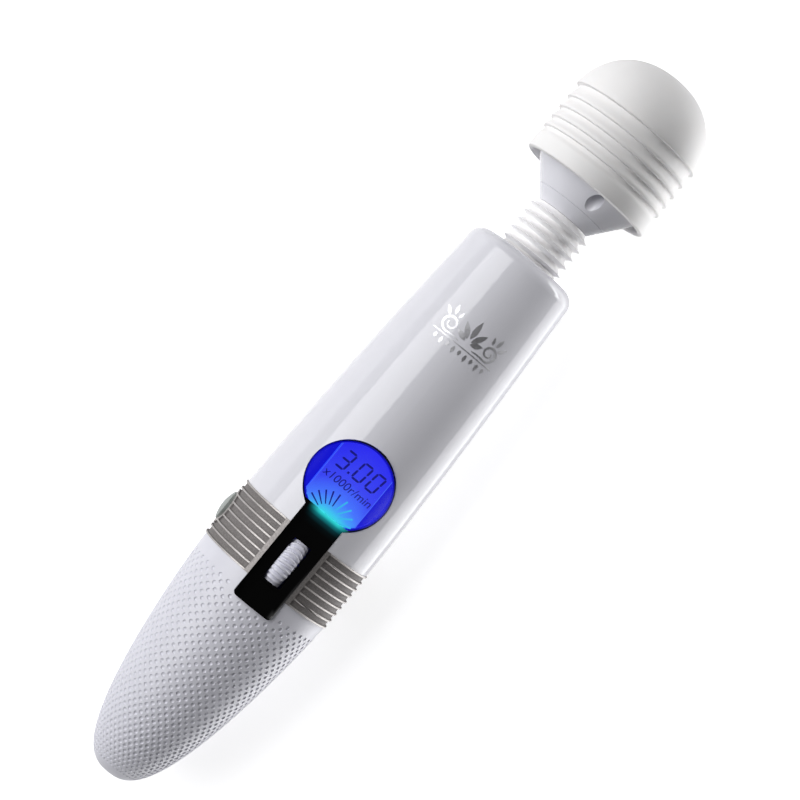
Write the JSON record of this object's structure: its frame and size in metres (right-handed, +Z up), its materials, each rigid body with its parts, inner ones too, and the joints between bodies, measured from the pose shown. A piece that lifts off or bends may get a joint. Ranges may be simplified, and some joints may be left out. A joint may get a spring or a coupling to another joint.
{
  "type": "handheld wand massager",
  "caption": "Handheld wand massager: tapered handle with round display, speed wheel and side button, ribbed bellows neck and a round silicone head shaken by an eccentric weight.",
  "frame": {"origin": "on the surface the wand lies on, under the middle of its length", "axes": "+X along the wand from the tail tip towards the head, +Z up out of the display panel, +Y towards the side button"},
  "size_m": [0.2898, 0.0517, 0.0532],
  "materials": {
    "gloss_abs": "gloss moulded ABS",
    "grip_abs": "satin dimpled ABS",
    "head_abs": "gloss moulded ABS",
    "silicone": "soft matte silicone",
    "bellows_rubber": "white moulded rubber",
    "retainer_nylon": "natural nylon",
    "band_metal": "satin metallised",
    "button_metal": "satin chromed",
    "lens_acrylic": "smoked acrylic, printed border",
    "gasket_foam": "black foam tape",
    "tray_white": "white reflector plastic",
    "lcd_glass": "lit screen",
    "backlight_blue": "light guide",
    "board_green": "solder mask",
    "steel": "bright zinc plated",
    "chassis_abs": "moulded ABS",
    "battery_wrap": "shrink wrap",
    "nickel": "nickel plated",
    "socket_black": "moulded nylon",
    "wheel_abs": "satin moulded ABS",
    "sensor_blue": "moulded phenolic",
    "switch_black": "moulded nylon",
    "dome_rubber": "translucent silicone",
    "motor_steel": "drawn zinc plated can",
    "motor_nylon": "moulded nylon",
    "magnet": "sintered ferrite",
    "armature_iron": "enamelled laminations",
    "damper_rubber": "moulded rubber",
    "coupling_rubber": "moulded rubber",
    "weight_brass": "turned brass"
  },
  "bodies": {
    "handle": {"grip_shell": "grip_abs", "silver_band": "band_metal", "upper_shell": "gloss_abs", "display_lens": "lens_acrylic", "lens_gasket": "gasket_foam", "display_tray": "tray_white", "lcd_module": "lcd_glass", "backlight": "backlight_blue", "main_board": "board_green", "board_screws": "steel", "chassis": "chassis_abs", "battery_cell": "battery_wrap", "battery_cradle": "chassis_abs", "battery_contacts": "nickel", "charge_socket": "socket_black", "wheel_bracket": "chassis_abs", "speed_sensor": "sensor_blue", "tact_switch": "switch_black", "switch_board": "board_green", "button_dome": "dome_rubber", "motor_can": "motor_steel", "motor_end_cap": "motor_nylon", "motor_magnets": "magnet", "motor_bracket": "steel", "motor_screws": "steel", "motor_damper": "damper_rubber", "neck_retainer": "retainer_nylon", "neck_screws": "steel"},
    "rotor": {"motor_shaft": "steel", "motor_armature": "armature_iron", "flex_coupling": "coupling_rubber"},
    "wheel": {"thumb_wheel": "wheel_abs", "wheel_axle": "steel"},
    "button": {"mode_button": "button_metal"},
    "neck": {"neck_bellows": "bellows_rubber"},
    "head": {"neck_collar": "head_abs", "head_cone": "head_abs", "head_screws": "steel", "head_core": "chassis_abs", "lower_bearing": "steel", "upper_bearing": "steel", "silicone_cap": "silicone"},
    "eccentric": {"eccentric_shaft": "steel", "eccentric_weight": "weight_brass", "weight_screw": "steel"}
  },
  "joints": [
    {"name": "motor_spin", "type": "hinge", "parent": "handle", "child": "rotor", "pos_m": [0.035, 0, 0.0251], "axis": [1, 0, 0], "continuous": true},
    {"name": "neck_pitch", "type": "hinge", "parent": "handle", "child": "neck", "pos_m": [0.074, 0, 0.0251], "axis": [0, 1, 0], "range_deg": [-15, 15], "stiffness_Nm_per_rad": 6, "deforming": ["neck_bellows", "flex_coupling"]},
    {"name": "neck_yaw", "type": "hinge", "parent": "neck", "child": "head", "pos_m": [0.083, 0, 0.0251], "axis": [0, 0, 1], "range_deg": [-15, 15], "stiffness_Nm_per_rad": 6, "deforming": ["neck_bellows", "flex_coupling"]},
    {"name": "eccentric_spin", "type": "hinge", "parent": "head", "child": "eccentric", "pos_m": [0.115, 0, 0.0251], "axis": [1, 0, 0], "continuous": true},
    {"name": "wheel_turn", "type": "hinge", "parent": "handle", "child": "wheel", "pos_m": [-0.0542, 0, 0.04075], "axis": [0, 1, 0], "range_deg": [-135, 135]},
    {"name": "button_press", "type": "slide", "parent": "handle", "child": "button", "axis": [0, -1, 0], "range_m": [0, 0.0006], "stiffness_N_per_m": 800, "springref_m": -0.0005, "deforming": ["button_dome"]}
  ],
  "couplings": [
    {"joint": "eccentric_spin", "follows": "motor_spin", "ratio": 1}
  ]
}
